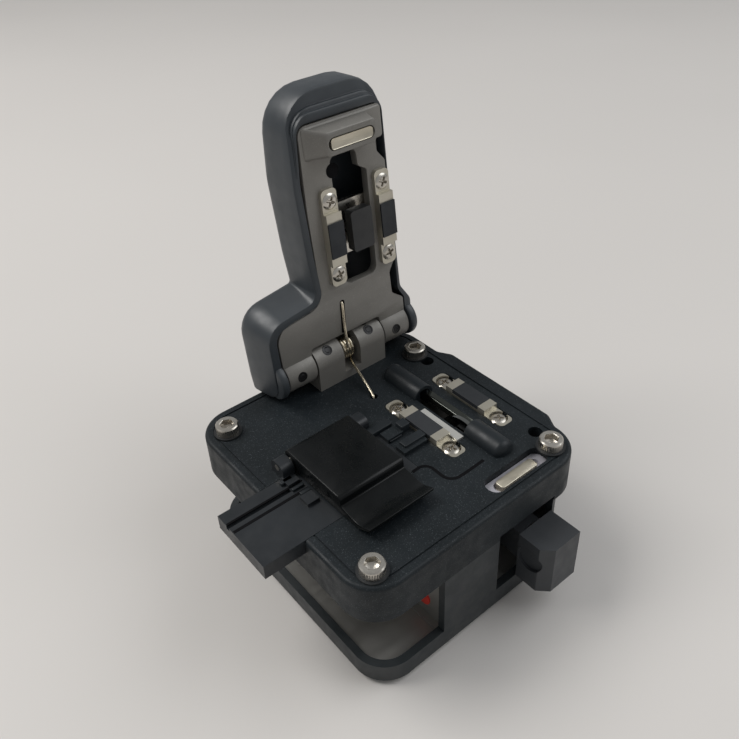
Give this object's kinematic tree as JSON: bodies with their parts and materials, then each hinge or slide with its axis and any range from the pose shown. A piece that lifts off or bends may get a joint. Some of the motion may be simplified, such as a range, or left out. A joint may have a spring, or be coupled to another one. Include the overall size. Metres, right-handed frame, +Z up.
{
  "type": "fibre cleaver",
  "caption": "Bench cleaver for optical fibre: hinged lever with clamps over a sliding blade carriage, a lidded fibre fixture and an open bay under the cover.",
  "frame": {"origin": "on the standing plane, under the middle of the cover", "axes": "+X along the fibre, from the fixture towards the off-cut side; +Y from the button towards the lever hinge; +Z up"},
  "size_m": [0.0747, 0.0831, 0.1045],
  "materials": {
    "black_aluminium": "matt black bead-blasted and anodised aluminium",
    "black_plastic": "satin black moulded plastic",
    "machined_aluminium": "fine-machined light grey aluminium",
    "nickel": "nickel-plated steel",
    "black_steel": "black-oxide socket head screws",
    "zinc_steel": "bright steel",
    "rubber": "black rubber",
    "magnet": "nickel-coated magnet",
    "hard_steel": "ground and polished blade steel",
    "spring_steel": "bright spring wire",
    "lacquer": "red sealing lacquer"
  },
  "bodies": {
    "root": {"base_tray": "black_plastic", "rubber_feet": "rubber", "tray_screws": "black_steel", "chassis": "machined_aluminium", "seal_dot": "lacquer", "top_cover": "black_aluminium", "cover_screws": "black_steel", "cover_washers": "black_steel", "magnet_plate": "machined_aluminium", "base_magnet": "magnet", "lower_clamp_left": "nickel", "lower_clamp_right": "nickel", "lower_pads": "rubber", "lower_clamp_screws": "zinc_steel", "ground_strip": "zinc_steel", "hinge_bracket": "black_aluminium", "hinge_pin": "zinc_steel", "bracket_set_screws": "black_steel", "torsion_spring": "spring_steel", "guide_rail": "hard_steel", "fixture_bar": "black_aluminium", "lid_pin": "zinc_steel"},
    "lever": {"lever_shell": "black_plastic", "lever_frame": "black_aluminium", "lever_magnet_bar": "magnet", "upper_clamp_left": "nickel", "upper_clamp_right": "nickel", "upper_pads": "rubber", "upper_clamp_screws": "zinc_steel", "anvil_bridge": "zinc_steel", "knuckle_set_screws": "black_steel"},
    "anvil_slide": {"anvil": "black_plastic"},
    "carriage": {"blade_carriage": "black_aluminium", "blade_axle": "zinc_steel", "push_button": "black_aluminium"},
    "blade": {"blade_wheel": "hard_steel"},
    "lid": {"fixture_lid": "black_aluminium", "lid_pad": "rubber"}
  },
  "joints": [
    {"name": "lever_hinge", "type": "hinge", "parent": "root", "child": "lever", "pos_m": [0.00915, 0.0266, 0.0393], "axis": [-1, 0, 0], "range_deg": [-95.5, 0], "stiffness_Nm_per_rad": 0.02, "springref_deg": 20.05},
    {"name": "blade_slide", "type": "slide", "parent": "root", "child": "carriage", "axis": [0, 1, 0], "range_m": [0, 0.01]},
    {"name": "blade_spin", "type": "hinge", "parent": "carriage", "child": "blade", "pos_m": [0.0164, -0.0095, 0.0262], "axis": [1, 0, 0], "continuous": true},
    {"name": "lid_hinge", "type": "hinge", "parent": "root", "child": "lid", "pos_m": [-0.0133, 0.0058, 0.0351], "axis": [-1, 0, 0], "range_deg": [0, 90]},
    {"name": "anvil_press", "type": "slide", "parent": "lever", "child": "anvil_slide", "axis": [0, 0.9954, -0.0958], "range_m": [0, 0.0016], "stiffness_N_per_m": 150, "springref_m": -0.002}
  ]
}
